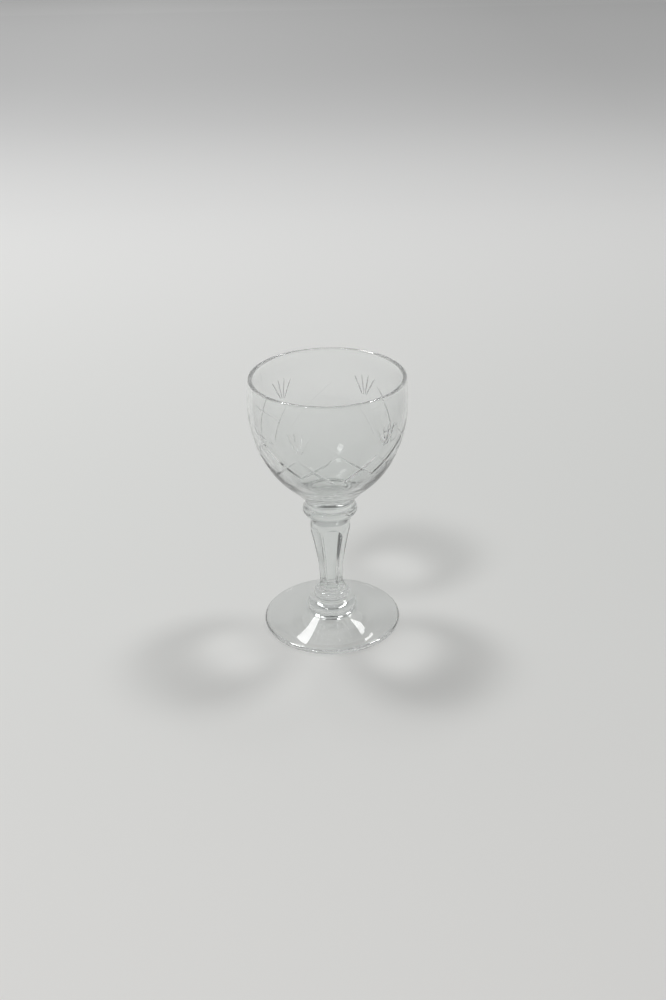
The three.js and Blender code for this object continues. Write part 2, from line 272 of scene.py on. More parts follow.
def glass_material(name, polish, dulling, wave_scale, wave_height):
    material = bpy.data.materials.new(name)
    material.use_nodes = True
    tree = material.node_tree
    glass = tree.nodes["Principled BSDF"]
    glass.inputs["Transmission Weight"].default_value = 1.0
    glass.inputs["IOR"].default_value = 1.52
    glass.inputs["Metallic"].default_value = 0.0
    character = wire(tree, "ShaderNodeGroup", {
        "Tint": (*GLASS_TINT, 1), "Thick Tint": (*THICK_TINT, 1), "Drift": TINT_DRIFT,
        "Polish": polish, "Dulling": dulling, "Wave Scale": wave_scale}, node_tree=glass_character)

    place = tree.nodes.new("ShaderNodeTexCoord").outputs["Object"]
    height = wire(tree, "ShaderNodeSeparateXYZ", {0: place}).outputs["Z"]
    full_slant = wire(tree, "ShaderNodeMapRange", {
        "Value": height, "From Min": RIM_TINT_FROM * MM, "From Max": RIM_TINT_TO * MM,
        "To Min": SLANT_TINT, "To Max": 1.0}).outputs["Result"]
    slant = wire(tree, "ShaderNodeLayerWeight", {"Blend": 0.5}).outputs["Facing"]
    kept = wire(tree, "ShaderNodeMapRange", {"Value": slant, "To Min": 1.0, "To Max": full_slant})
    colour = wire(tree, "ShaderNodeVectorMath", {
        0: character.outputs["Color"], "Scale": kept.outputs["Result"]}, operation="SCALE")
    bump = wire(tree, "ShaderNodeBump", {
        "Strength": 1.0, "Distance": wave_height * MM, "Height": character.outputs["Height"]})
    tree.links.new(colour.outputs[0], glass.inputs["Base Color"])
    tree.links.new(character.outputs["Roughness"], glass.inputs["Roughness"])
    tree.links.new(bump.outputs["Normal"], glass.inputs["Normal"])
    let_lamps_through(tree, glass)
    return material


def seat_material(name):
    material = bpy.data.materials.new(name)
    material.use_nodes = True
    tree = material.node_tree
    tree.nodes.remove(tree.nodes["Principled BSDF"])
    clear = wire(tree, "ShaderNodeBsdfTransparent", {"Color": (1, 1, 1, 1)})
    tree.links.new(clear.outputs[0], tree.nodes["Material Output"].inputs["Surface"])
    return material


fire_polished = glass_material("clear_glass_fire_polished", 0.0, 0.02, 70.0, 0.02)
wheel_cut = glass_material("clear_glass_wheel_cut", 0.1, 0.05, 260.0, 0.01)
melted_seat = seat_material("melted_seat")
SKIN, CUT, SEAT = 0, 1, 2  # order of the material slots on every piece
print("materials:", fire_polished.name, wheel_cut.name, melted_seat.name)

# %% [markdown]
# ## Profiles
#
# Every piece but the stem is a solid of revolution, so it is wholly described by half of its section: a
# line of (radius, height) points that runs from the axis below, round the outside and back to the axis
# above. The curves are the same Bezier and ellipse arcs as in the source, with many more points.

# %% Draw curves for profiles
FINE = 14  # points on one arc of a profile


def quad(a, b, c, count=FINE):
    a, b, c = (np.array(p, float) for p in (a, b, c))
    return [(1 - t) ** 2 * a + 2 * t * (1 - t) * b + t * t * c for t in np.linspace(0, 1, count + 1)]


def cubic(a, b, c, d, count=2 * FINE):
    a, b, c, d = (np.array(p, float) for p in (a, b, c, d))
    return [(1 - t) ** 3 * a + 3 * t * (1 - t) ** 2 * b + 3 * t * t * (1 - t) * c + t ** 3 * d
            for t in np.linspace(0, 1, count + 1)]


def joined(*runs):
    """One line through several runs of points, without repeating the point where two of them meet."""
    line = []
    for run in runs:
        for p in run:
            if not line or np.linalg.norm(np.array(p, float) - line[-1]) > 1e-6:
                line.append(np.array(p, float))
    return np.array(line)


def mix(a, b, t):
    return a + (b - a) * t


print("a quarter bend has", len(quad((0, 0), (1, 0), (1, 1))), "points")

# %% [markdown]
# Ring, bead and neck bead are rounded gathers, so one profile of two quarter ellipses makes all three.
# The foot and the collar get their own. In them a share such as 0.35 places the handle of a curve.

# %% Draw the profiles of the five round pieces
def bead_profile(z, lower_seat, widest_r, upper_seat, height, widest_z):
    """Two quarter ellipses, from the lower seat out to the widest line and in again."""
    turn = np.linspace(0, math.pi / 2, FINE + 1)
    return joined(
        [(0, z), (lower_seat, z)],
        [(mix(lower_seat, widest_r, math.sin(a)), z + widest_z * (1 - math.cos(a))) for a in turn],
        [(mix(upper_seat, widest_r, math.cos(a)), z + mix(widest_z, height, math.sin(a))) for a in turn],
        [(0, z + height)])


def foot_profile():
    rest_outer = FOOT_R - FOOT_REST_INSET
    rest_inner = rest_outer - FOOT_REST_W
    fillet_r, fillet_z = FOOT_SEAT_R + FOOT_FILLET_W, FOOT_EDGE_T + FOOT_SLOPE_RISE
    slope_r = FOOT_R - FOOT_EDGE_T
    slope_w = slope_r - fillet_r
    return joined(
        quad((0, FOOT_HOLLOW_H), (0.7 * rest_inner, FOOT_HOLLOW_H), (rest_inner, 0), 2 * FINE),
        quad((rest_outer, 0), (FOOT_R, 0), (FOOT_R, FOOT_EDGE_T / 2)),
        quad((FOOT_R, FOOT_EDGE_T / 2), (FOOT_R, 0.9 * FOOT_EDGE_T), (slope_r, FOOT_EDGE_T)),
        cubic((slope_r, FOOT_EDGE_T), (slope_r - 0.35 * slope_w, FOOT_EDGE_T + 0.25 * FOOT_SLOPE_RISE),
              (fillet_r + 0.35 * slope_w, FOOT_EDGE_T + 0.65 * FOOT_SLOPE_RISE), (fillet_r, fillet_z)),
        quad((fillet_r, fillet_z), (FOOT_SEAT_R + 0.35 * FOOT_FILLET_W, fillet_z + 0.45 * FOOT_FILLET_H),
             (FOOT_SEAT_R, FOOT_H)),
        [(0, FOOT_H)])


def collar_profile():
    cone_z = COLLAR_Z + COLLAR_CONE_H
    widest = (COLLAR_R, cone_z + 0.45 * COLLAR_EDGE_H)
    return joined(
        [(0, COLLAR_Z), (COLLAR_SEAT_R, COLLAR_Z)],
        quad((COLLAR_CONE_R, cone_z), (COLLAR_R, cone_z + 0.25 * COLLAR_EDGE_H), widest),
        quad(widest, (COLLAR_R, NECK_Z), (NECK_SEAT_R, NECK_Z)),
        [(0, NECK_Z)])


print("foot profile has", len(foot_profile()), "points, collar", len(collar_profile()))

# %% [markdown]
# The bowl is an ellipsoid from its seat up to the belly and draws in a little from there to the rim. A
# short flare leads from the seat into the ellipsoid along its tangent. The inside is a smaller ellipsoid,
# and the rim between them is a half circle, as fire leaves it.

# %% Draw the bowl's profile
BOWL_FINE = 60  # points on a quarter of the ellipsoid


def drawn_in(z):
    return RIM_DRAW_IN * (max(z - BELLY_Z, 0) / RIM_RISE) ** 2


def outside_r(z):
    """Radius of the bowl's outside at a height z."""
    below = min(max((BELLY_Z - z) / BOWL_DROP, 0), 1)
    return BELLY_R * math.sqrt(1 - below ** 2) - drawn_in(z)


def bowl_profile():
    inner_r, inner_drop = BELLY_R - WALL, BOWL_DROP - BOWL_BOTTOM_T
    join_z = BOWL_Z + BOWL_LIFT + FLARE_RISE
    join_r = outside_r(join_z)
    join_angle = math.acos(1 - FLARE_RISE / BOWL_DROP)
    slope = BELLY_R ** 2 * (BELLY_Z - join_z) / (BOWL_DROP ** 2 * join_r)
    bend_r = BOWL_SEAT_R + FLARE_BEND
    bend_z = join_z - (join_r - bend_r) / slope
    rim_middle = RIM_Z - WALL / 2
    rim_r = BELLY_R - drawn_in(rim_middle) - WALL / 2
    lip = np.linspace(BELLY_Z, rim_middle, FINE)
    return joined(
        [(0, BOWL_Z)],
        quad((BOWL_SEAT_R, BOWL_Z), (bend_r, bend_z), (join_r, join_z)),
        [(BELLY_R * math.sin(a), BELLY_Z - BOWL_DROP * math.cos(a))
         for a in np.linspace(join_angle, math.pi / 2, BOWL_FINE)],
        [(BELLY_R - drawn_in(z), z) for z in lip],
        [(rim_r + WALL / 2 * math.cos(a), rim_middle + WALL / 2 * math.sin(a))
         for a in np.linspace(0, math.pi, FINE)],
        [(inner_r - drawn_in(z), z) for z in lip[::-1]],
        [(inner_r * math.sin(a), BELLY_Z - inner_drop * math.cos(a))
         for a in np.linspace(math.pi / 2, 0, BOWL_FINE)])


print("bowl profile has", len(bowl_profile()), "points")

# %% [markdown]
# ## A lathe made of nodes
#
# The Screw modifier or Spin would turn a profile too. A Geometry Nodes tree says it more plainly: a grid
# has one column of points for each stop of the lathe, and each point looks up its radius and height in
# the profile and its angle in its column. Merging by distance closes the seam and the poles. With 192
# stops the same lathe turns round glass. With few stops it turns a form with sides, which the stem needs.

# %% Build the lathe
MERGE_DISTANCE = 0.002  # mm


def lathe_tree():
    tree = bpy.data.node_groups.new("lathe", "GeometryNodeTree")
    for name, kind in (("Profile", "NodeSocketGeometry"), ("Stops", "NodeSocketInt"),
                       ("First Angle", "NodeSocketFloat"), ("Surface", "NodeSocketMaterial")):
        tree.interface.new_socket(name, in_out="INPUT", socket_type=kind)
    tree.interface.new_socket("Turned", in_out="OUTPUT", socket_type="NodeSocketGeometry")
    given = tree.nodes.new("NodeGroupInput").outputs

    points = wire(tree, "GeometryNodeAttributeDomainSize", {0: given["Profile"]}).outputs["Point Count"]
    columns = calc(tree, "ADD", given["Stops"], 1.0)
    grid = wire(tree, "GeometryNodeMeshGrid", {"Vertices X": columns, "Vertices Y": points}).outputs["Mesh"]
    index = tree.nodes.new("GeometryNodeInputIndex").outputs[0]
    column = calc(tree, "FLOOR", calc(tree, "DIVIDE", calc(tree, "ADD", index, 0.5), points))
    row = calc(tree, "SUBTRACT", index, calc(tree, "MULTIPLY", column, points))
    step = calc(tree, "DIVIDE", 2 * math.pi, given["Stops"])
    angle = calc(tree, "MULTIPLY_ADD", column, step, given["First Angle"])

    place = tree.nodes.new("GeometryNodeInputPosition").outputs[0]
    found = wire(tree, "GeometryNodeSampleIndex", data_type="FLOAT_VECTOR", domain="POINT")
    tree.links.new(given["Profile"], found.inputs["Geometry"])
    tree.links.new(place, found.inputs["Value"])
    tree.links.new(row, found.inputs["Index"])
    apart = wire(tree, "ShaderNodeSeparateXYZ", {0: found.outputs["Value"]}).outputs
    spot = wire(tree, "ShaderNodeCombineXYZ", {
        0: calc(tree, "MULTIPLY", apart["X"], calc(tree, "COSINE", angle)),
        1: calc(tree, "MULTIPLY", apart["X"], calc(tree, "SINE", angle)),
        2: apart["Z"]}).outputs[0]
    turned = wire(tree, "GeometryNodeSetPosition", {"Geometry": grid, "Position": spot}).outputs[0]
    closed = wire(tree, "GeometryNodeMergeByDistance", {
        "Geometry": turned, "Distance": MERGE_DISTANCE * MM}).outputs[0]
    plain = wire(tree, "GeometryNodeRealizeInstances", {0: closed}).outputs[0]
    dressed = wire(tree, "GeometryNodeSetMaterial", {"Geometry": plain, "Material": given["Surface"]})
    tree.links.new(dressed.outputs[0], tree.nodes.new("NodeGroupOutput").inputs[0])
    return tree


lathe = lathe_tree()
print("lathe has", len(lathe.nodes), "nodes")

# %% [markdown]
# A tree works on an object, so the profile becomes a small mesh of points and edges. The evaluated result
# is copied out as a plain mesh, and the helper object with its modifier is thrown away. A turned form may
# come out inside out. Its signed volume tells, and its faces are flipped then.

# %% Turn a profile into a mesh
ROUND_STOPS = 192


def shown(name, data):
    """A new object in the scene."""
    made = bpy.data.objects.new(name, data)
    bpy.context.scene.collection.objects.link(made)
    return made


def run_tree(mesh, tree, values):
    """The mesh that a Geometry Nodes tree makes of a mesh."""
    helper = shown("helper", mesh)
    nodes = helper.modifiers.new("tree", "NODES")
    nodes.node_group = tree
    for socket in tree.interface.items_tree:
        if socket.in_out == "INPUT" and socket.name in values:
            nodes[socket.identifier] = values[socket.name]
    graph = bpy.context.evaluated_depsgraph_get()
    result = bpy.data.meshes.new_from_object(helper.evaluated_get(graph), depsgraph=graph)
    bpy.data.objects.remove(helper)
    bpy.data.meshes.remove(mesh)
    if volume_of(result) < 0:
        result.flip_normals()
    return result


def volume_of(mesh):
    """Signed volume in mm3, positive when the faces point outwards."""
    mesh.calc_loop_triangles()
    co = np.array([v.co for v in mesh.vertices]) / MM
    tri = co[np.array([t.vertices for t in mesh.loop_triangles])]
    return float(np.einsum("ij,ij->i", tri[:, 0], np.cross(tri[:, 1], tri[:, 2])).sum() / 6)


def turned(name, profile, stops=ROUND_STOPS, surface=fire_polished):
    line = bpy.data.meshes.new(name + "_profile")
    edges = [(i, i + 1) for i in range(len(profile) - 1)]
    line.from_pydata([(r * MM, 0, z * MM) for r, z in profile], edges, [])
    mesh = run_tree(line, lathe, {"Stops": stops, "First Angle": 0.0, "Surface": surface})
    mesh.name = name
    return mesh


test = turned("test", foot_profile())
print("foot:", len(test.polygons), "faces,", round(volume_of(test)), "mm3")
bpy.data.meshes.remove(test)

# %% [markdown]
# ## Normals from the profile
#
# Blender can average face normals into smooth ones, but a face that a cut has trimmed pulls the average
# askew, and glass shows that at once. The profile knows the true direction of the surface at every
# height. So each corner of each turned face takes its normal from the nearest part of the profile. A
# crease stays where two neighbouring parts of the profile meet at more than 25 degrees.

# %% Find a profile's normals
CREASE = math.cos(math.radians(25))


def profile_normals(profile):
    """For each part of the profile, its normals at its two ends."""
    step = np.diff(profile, axis=0)
    flat = np.stack([step[:, 1], -step[:, 0]], 1)
    flat /= np.linalg.norm(flat, axis=1)[:, None]
    ends = np.stack([flat, flat], 1)
    for i in range(len(flat) - 1):
        if flat[i] @ flat[i + 1] > CREASE:
            shared = flat[i] + flat[i + 1]
            ends[i, 1] = ends[i + 1, 0] = shared / np.linalg.norm(shared)
    for i, end in ((0, 0), (-1, 1)):
        if profile[i][0] < 1e-9:
            ends[i, end] = (0, math.copysign(1, ends[i, end, 1]))
    return ends


foot_ends = profile_normals(foot_profile())
print("creases on the foot:", int((foot_ends[:-1, 1] != foot_ends[1:, 0]).any(1).sum()))

# %% [markdown]
# Numbers for thousands of corners are read from a mesh in one go, as arrays in millimetres, which is far
# quicker than one corner after another.

# %% Take normals from the profile
def corner_faces(mesh):
    """For each face corner, the index of its face."""
    total = np.zeros(len(mesh.polygons), int)
    mesh.polygons.foreach_get("loop_total", total)
    return np.repeat(np.arange(len(total)), total)


def mesh_arrays(mesh):
    """The places of the vertices, and for each face corner its vertex and its face."""
    co = np.zeros(3 * len(mesh.vertices))
    mesh.vertices.foreach_get("co", co)
    corner_vertex = np.zeros(len(mesh.loops), int)
    mesh.loops.foreach_get("vertex_index", corner_vertex)
    return co.reshape(-1, 3) / MM, corner_vertex, corner_faces(mesh)


def face_middles(mesh):
    middles = np.zeros(3 * len(mesh.polygons))
    mesh.polygons.foreach_get("center", middles)
    return middles.reshape(-1, 3) / MM


def face_slots(mesh):
    index = np.zeros(len(mesh.polygons), int)
    mesh.polygons.foreach_get("material_index", index)
    return index


def turned_normals(mesh, profile):
    """A normal for each face corner, as if every face belonged to the turned surface."""
    co, corner_vertex, corner_face = mesh_arrays(mesh)
    middles = face_middles(mesh)
    start, step = profile[:-1], np.diff(profile, axis=0)
    length2 = (step ** 2).sum(1)
    ends = profile_normals(profile)

    spot = np.stack([np.hypot(middles[:, 0], middles[:, 1]), middles[:, 2]], 1)
    along = np.clip(((spot[:, None] - start) * step).sum(2) / length2, 0, 1)
    away = np.linalg.norm(spot[:, None] - (start + along[..., None] * step), axis=2)
    part = away.argmin(1)[corner_face]

    corner = co[corner_vertex]
    radius = np.hypot(corner[:, 0], corner[:, 1])
    spot = np.stack([radius, corner[:, 2]], 1)
    along = np.clip(((spot - start[part]) * step[part]).sum(1) / length2[part], 0, 1)[:, None]
    flat = ends[part, 0] * (1 - along) + ends[part, 1] * along
    flat /= np.linalg.norm(flat, axis=1)[:, None]
    out = corner[:, :2] / np.maximum(radius, 1e-9)[:, None]
    return np.concatenate([out * flat[:, :1], flat[:, 1:]], 1)


print("helpers for normals:", [helper.__name__ for helper in (mesh_arrays, face_middles, turned_normals)])

# %% [markdown]
# A piece is finished in the same way each time: three material slots, the seats found by their height,
# normals set, and the object left at the origin. It rides on the one body and stands for its solid.

# %% Finish a piece
def give_slots(mesh):
    mesh.materials.clear()
    for material in (fire_polished, wheel_cut, melted_seat):
        mesh.materials.append(material)


def mark_seats(mesh, heights):
    """Gives the flat faces at these heights the seat's material slot."""
    co, corner_vertex, corner_face = mesh_arrays(mesh)
    for height in heights:
        near = np.abs(co[corner_vertex, 2] - height) < 1e-4
        whole = np.bincount(corner_face, weights=~near, minlength=len(mesh.polygons)) == 0
        for i in np.flatnonzero(whole):
            mesh.polygons[i].material_index = SEAT


def finish_piece(mesh, node, normals):
    for polygon in mesh.polygons:
        polygon.use_smooth = True
    mesh.normals_split_custom_set([tuple(n) for n in normals])
    piece = shown(node + "_glass", mesh)
    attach(piece, "root")
    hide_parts(node)
    low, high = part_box(node)
    co = np.array([v.co for v in mesh.vertices])
    off = max(np.abs(co.min(0) - low).max(), np.abs(co.max(0) - high).max()) / MM
    print(node, len(mesh.polygons), "faces,", round(volume_of(mesh)), "mm3, differs from its solid's box by",
          round(float(off), 3), "mm")


def turned_piece(node, profile, seats):
    mesh = turned(node + "_turned", profile)
    give_slots(mesh)
    mark_seats(mesh, seats)
    finish_piece(mesh, node, turned_normals(mesh, profile))


print("every piece has the slots", [m.name for m in (fire_polished, wheel_cut, melted_seat)])

# %% [markdown]
# ## Foot, ring, bead, collar and neck
#
# The foot is pressed flat from one gather and rests on a narrow flat ring, with a shallow hollow inside
# it. The ring and the bead above it, and the collar and low neck bead under the bowl, are further
# gathers. All five are turned.

# %% Turn the five round pieces
turned_piece("foot", foot_profile(), [FOOT_H])
turned_piece("base_ring", bead_profile(RING_Z, FOOT_SEAT_R, BASE_RING_R, RING_SEAT_R, BASE_RING_H,
                                       0.2 * BASE_RING_H), [RING_Z, BEAD_Z])
turned_piece("base_bead", bead_profile(BEAD_Z, RING_SEAT_R, BASE_BEAD_R, STEM_SEAT_R, BASE_BEAD_H,
                                       0.45 * BASE_BEAD_H), [BEAD_Z, STEM_Z])
turned_piece("collar", collar_profile(), [COLLAR_Z, NECK_Z])
turned_piece("neck_bead", bead_profile(NECK_Z, NECK_SEAT_R, NECK_BEAD_R, BOWL_SEAT_R, NECK_BEAD_H,
                                       0.5 * NECK_BEAD_H), [NECK_Z, BOWL_Z])

# %% [markdown]
# ## The cutter's tools
#
# Lines and fans are V-shaped cuts, ground with a mitred wheel. Each one follows a path on the bowl. Along
# its path the wheel dips in and comes out again, so the cut is deepest in the middle and ends in a point.
# A Geometry Nodes tree makes the wheel's track: every path is a chain of points that carries the
# direction out of the glass and the height of the V, a triangle is swept along it, and the whole set is
# repeated round the axis as often as wanted.

# %% Build the cutting tree
WHEEL_CLEAR = 0.5  # how far the V's open side stands over the glass


def cutting_tree():
    tree = bpy.data.node_groups.new("wheel_tracks", "GeometryNodeTree")
    for name, kind in (("Paths", "NodeSocketGeometry"), ("Spread", "NodeSocketFloat"),
                       ("Repeats", "NodeSocketInt"), ("First Angle", "NodeSocketFloat"),
                       ("Surface", "NodeSocketMaterial")):
        tree.interface.new_socket(name, in_out="INPUT", socket_type=kind)
    tree.interface.new_socket("Tracks", in_out="OUTPUT", socket_type="NodeSocketGeometry")
    given = tree.nodes.new("NodeGroupInput").outputs

    chains = wire(tree, "GeometryNodeMeshToCurve", {"Mesh": given["Paths"]}).outputs[0]
    outward = wire(tree, "GeometryNodeInputNamedAttribute", {"Name": "outward"}, data_type="FLOAT_VECTOR")
    height = wire(tree, "GeometryNodeInputNamedAttribute", {"Name": "height"}, data_type="FLOAT")
    upright = wire(tree, "GeometryNodeSetCurveNormal", mode="FREE")
    tree.links.new(chains, upright.inputs["Curve"])
    tree.links.new(outward.outputs[0], upright.inputs["Normal"])

    corners = wire(tree, "GeometryNodeMeshCircle", {"Vertices": 3, "Radius": 1.0}).outputs["Mesh"]
    index = tree.nodes.new("GeometryNodeInputIndex").outputs[0]
    side = calc(tree, "SUBTRACT", index, 1.0)  # -1, 0, 1: left edge, bottom, right edge
    depth = calc(tree, "SUBTRACT", calc(tree, "ABSOLUTE", side), 1.0)
    spot = wire(tree, "ShaderNodeCombineXYZ", {
        0: depth, 1: calc(tree, "MULTIPLY", side, given["Spread"])}).outputs[0]
    wedge = wire(tree, "GeometryNodeSetPosition", {"Geometry": corners, "Position": spot}).outputs[0]
    outline = wire(tree, "GeometryNodeMeshToCurve", {"Mesh": wedge}).outputs[0]
    swept = wire(tree, "GeometryNodeCurveToMesh", {
        "Curve": upright.outputs[0], "Profile Curve": outline, "Scale": height.outputs[0],
        "Fill Caps": True}).outputs[0]

    places = wire(tree, "GeometryNodePoints", {"Count": given["Repeats"]}).outputs[0]
    step = calc(tree, "DIVIDE", 2 * math.pi, given["Repeats"])
    turn = calc(tree, "MULTIPLY_ADD", index, step, given["First Angle"])
    facing = wire(tree, "ShaderNodeCombineXYZ", {2: turn}).outputs[0]
    repeated = wire(tree, "GeometryNodeInstanceOnPoints", {
        "Points": places, "Instance": swept, "Rotation": facing}).outputs[0]
    plain = wire(tree, "GeometryNodeRealizeInstances", {0: repeated}).outputs[0]
    dressed = wire(tree, "GeometryNodeSetMaterial", {"Geometry": plain, "Material": given["Surface"]})
    tree.links.new(dressed.outputs[0], tree.nodes.new("NodeGroupOutput").inputs[0])
    return tree


wheel_tracks = cutting_tree()
print("wheel_tracks has", len(wheel_tracks.nodes), "nodes")

# %% [markdown]
# The paths themselves are drawn on the ellipsoid by an angle and a drop below the belly, as in the
# source. Long and short lines run over the bowl in both hands and cross. The cutter set the fans by eye,
# so each has a turn of its own. `bite` is the depth of the V at a place on its path: full in the middle,
# and a little above the glass at both ends.

# %% Draw the paths of the cuts
LINE_W, LINE_DEPTH, LINE_REPEATS = 1.3, 0.22, 6
LONG_LINE = dict(from_angle=17, from_drop=2.7, to_angle=63, to_drop=16.9, sag=0.6)
SHORT_LINE = dict(from_angle=-1, from_drop=9.2, to_angle=28.5, to_drop=18.3, sag=0.2)

FAN_CUTS = 4
FAN_CUT_W, FAN_CUT_DEPTH = 0.7, 0.2
FAN_ROOT_DROP, FAN_MIDDLE_TIP_DROP, FAN_OUTER_TIP_DROP = 7.2, 0.05, 0.7
FAN_ROOT_SPREAD, FAN_SPREAD = 3, 18  # degrees between the outer cuts, at the root and at the tips
FAN_TURNS = (7, 60, 112.5, 181.5, 241, 302)  # degrees from the first angle, not quite even

FIRST_ANGLE = math.radians(-60)  # over a corner of the stem
PATH_POINTS = 40


def on_bowl(degrees, drop):
    angle, z = math.radians(degrees), BELLY_Z - drop
    r = outside_r(z)
    return np.array([r * math.cos(angle), r * math.sin(angle), z])


def out_of_bowl(p):
    n = np.array([p[0] / BELLY_R ** 2, p[1] / BELLY_R ** 2, (p[2] - BELLY_Z) / BOWL_DROP ** 2])
    return n / np.linalg.norm(n)


def line_path(line, hand):
    def at(t):
        drop = mix(line["from_drop"], line["to_drop"], t) + line["sag"] * 4 * t * (1 - t)
        return on_bowl(hand * mix(line["from_angle"], line["to_angle"], t), drop)
    return at


def fan_path(turn, cut):
    k = cut / (FAN_CUTS - 1) - 0.5  # -0.5 to 0.5 across the fan
    tip_drop = mix(FAN_MIDDLE_TIP_DROP, FAN_OUTER_TIP_DROP, (2 * k) ** 2)

    def at(t):
        return on_bowl(turn + k * mix(FAN_ROOT_SPREAD, FAN_SPREAD, t), mix(FAN_ROOT_DROP, tip_drop, t))
    return at


def bite(depth, t):
    return depth * (1 - 1.3 * (2 * t - 1) ** 6)


fan_cuts = [fan_path(turn, cut) for turn in FAN_TURNS for cut in range(FAN_CUTS)]
print("a fan's middle cut starts", np.round(fan_cuts[1](0), 1), "and ends", np.round(fan_cuts[1](1), 1))

# %% [markdown]
# A path becomes points and edges. Each point stands over the glass, at the V's open side, and carries two
# attributes for the tree: the way out of the glass, and the height of the V there.

# %% Make the wheel's tracks
def tracks(name, paths, width, depth, repeats):
    """The wheel's tracks along these paths, repeated round the bowl."""
    points, edges, outward, height = [], [], [], []
    for path in paths:
        for i, t in enumerate(np.linspace(0, 1, PATH_POINTS)):
            p = path(t)
            n = out_of_bowl(p)
            if i:
                edges.append((len(points) - 1, len(points)))
            points.append((p + n * WHEEL_CLEAR) * MM)
            outward.append(n)
            height.append((WHEEL_CLEAR + bite(depth, t)) * MM)
    mesh = bpy.data.meshes.new(name)
    mesh.from_pydata(points, edges, [])
    mesh.attributes.new("outward", "FLOAT_VECTOR", "POINT").data.foreach_set("vector", np.ravel(outward))
    mesh.attributes.new("height", "FLOAT", "POINT").data.foreach_set("value", height)
    return run_tree(mesh, wheel_tracks, {"Spread": width / 2 / depth, "Repeats": repeats,
                                         "First Angle": FIRST_ANGLE, "Surface": wheel_cut})


test = tracks("test", fan_cuts[:1], FAN_CUT_W, FAN_CUT_DEPTH, 1)
print("one track of a fan has", len(test.polygons), "faces")
bpy.data.meshes.remove(test)

# %% [markdown]
# ## Cutting the bowl
#
# Lines of one hand never cross each other, and neither do every second cut of a fan. So the bowl is cut
# in six passes, each with tools that stay clear of one another, and every pass is a clean boolean.

# %% Cut the bowl
def cut_away(mesh, tool_mesh, operation="DIFFERENCE"):
    """The mesh after a boolean with another mesh. Faces keep the material of the mesh they come from."""
    target, tool = shown("target", mesh), shown("tool", tool_mesh)
    cut = target.modifiers.new("cut", "BOOLEAN")
    cut.object, cut.operation, cut.solver, cut.material_mode = tool, operation, "EXACT", "TRANSFER"
    graph = bpy.context.evaluated_depsgraph_get()
    result = bpy.data.meshes.new_from_object(target.evaluated_get(graph), depsgraph=graph)
    for o in (target, tool):
        bpy.data.objects.remove(o)
    for m in (mesh, tool_mesh):
        bpy.data.meshes.remove(m)
    return result


def sort_slots(mesh):
    """Puts the materials in the order SKIN, CUT, SEAT whatever order a boolean left them in."""
    cut = np.array([m is not None and m.name == wheel_cut.name for m in mesh.materials])
    index = face_slots(mesh)
    give_slots(mesh)
    mesh.polygons.foreach_set("material_index", np.where(cut[index], CUT, SKIN))


bowl_line = bowl_profile()
bowl = turned("bowl_turned", bowl_line)
passes = [([line_path(line, hand)], LINE_W, LINE_DEPTH, LINE_REPEATS)
          for line in (LONG_LINE, SHORT_LINE) for hand in (1, -1)]
passes += [(fan_cuts[first::2], FAN_CUT_W, FAN_CUT_DEPTH, 1) for first in (0, 1)]
for paths, width, depth, repeats in passes:
    before = volume_of(bowl)
    bowl = cut_away(bowl, tracks("tracks", paths, width, depth, repeats))
    print("cut off", round(before - volume_of(bowl), 2), "mm3, faces now", len(bowl.polygons))
sort_slots(bowl)
mark_seats(bowl, [BOWL_Z])

# %% [markdown]
# The skin takes its normals from the profile. A cut takes the average of its own faces, with a crease
# along its bottom and its edges, so that each flank of the V is one smooth ribbon.

# %% Finish the bowl
CUT_CREASE = math.radians(22)


def on_cuts(mesh):
    """For each face corner, whether its face belongs to a cut."""
    return (face_slots(mesh) == CUT)[corner_faces(mesh)][:, None]


def own_normals(mesh):
    """Blender's smoothed normals, with a crease where faces meet at more than the angle of a cut."""
    for polygon in mesh.polygons:
        polygon.use_smooth = True
    mesh.set_sharp_from_angle(angle=CUT_CREASE)
    own = np.zeros(3 * len(mesh.loops))
    mesh.corner_normals.foreach_get("vector", own)
    return own.reshape(-1, 3)


bowl_normals = own_normals(bowl)
finish_piece(bowl, "bowl", np.where(on_cuts(bowl), bowl_normals, turned_normals(bowl, bowl_line)))

# %% [markdown]
# ## The stem
#
# The stem starts as a round blank, a little wider than the corners will be, and flares at its foot. Six
# panels are then ground along it, a little hollow across, as a round wheel leaves them. They follow the
# taper and leave the glass on an arc at both ends, which draws the curved shoulders under the collar and
# over the bead. The lathe makes both forms from the same heights, and the stem is what they share.

# %% Draw the stem's two profiles
SHOULDER_Z = STEM_H - STEM_SHOULDER_H
HALF_PANEL = math.pi / STEM_SIDES
OVER = 0.5  # how far the panel form runs past both ends


def corner_r(z):
    rise = max(0, (z - STEM_WAIST_Z) / (SHOULDER_Z - STEM_WAIST_Z))
    return mix(STEM_WAIST_R, COLLAR_SEAT_R, rise ** STEM_TAPER)


def panel_distance(z):
    above, below = max(0, z - SHOULDER_Z), max(0, STEM_WAIST_Z - z)
    return (corner_r(z) * math.cos(HALF_PANEL) + above ** 2 / (2 * PANEL_TOP_RUNOUT_R)
            + below ** 2 / (2 * PANEL_FOOT_RUNOUT_R))


def panel_corner(z):
    return panel_distance(z) / math.cos(HALF_PANEL)


def blank_r(z):
    flare = (STEM_SEAT_R - STEM_WAIST_R - STEM_BLANK_STOCK) * math.exp(-z / STEM_FLARE_H)
    return min(COLLAR_SEAT_R, corner_r(z) + STEM_BLANK_STOCK + flare)


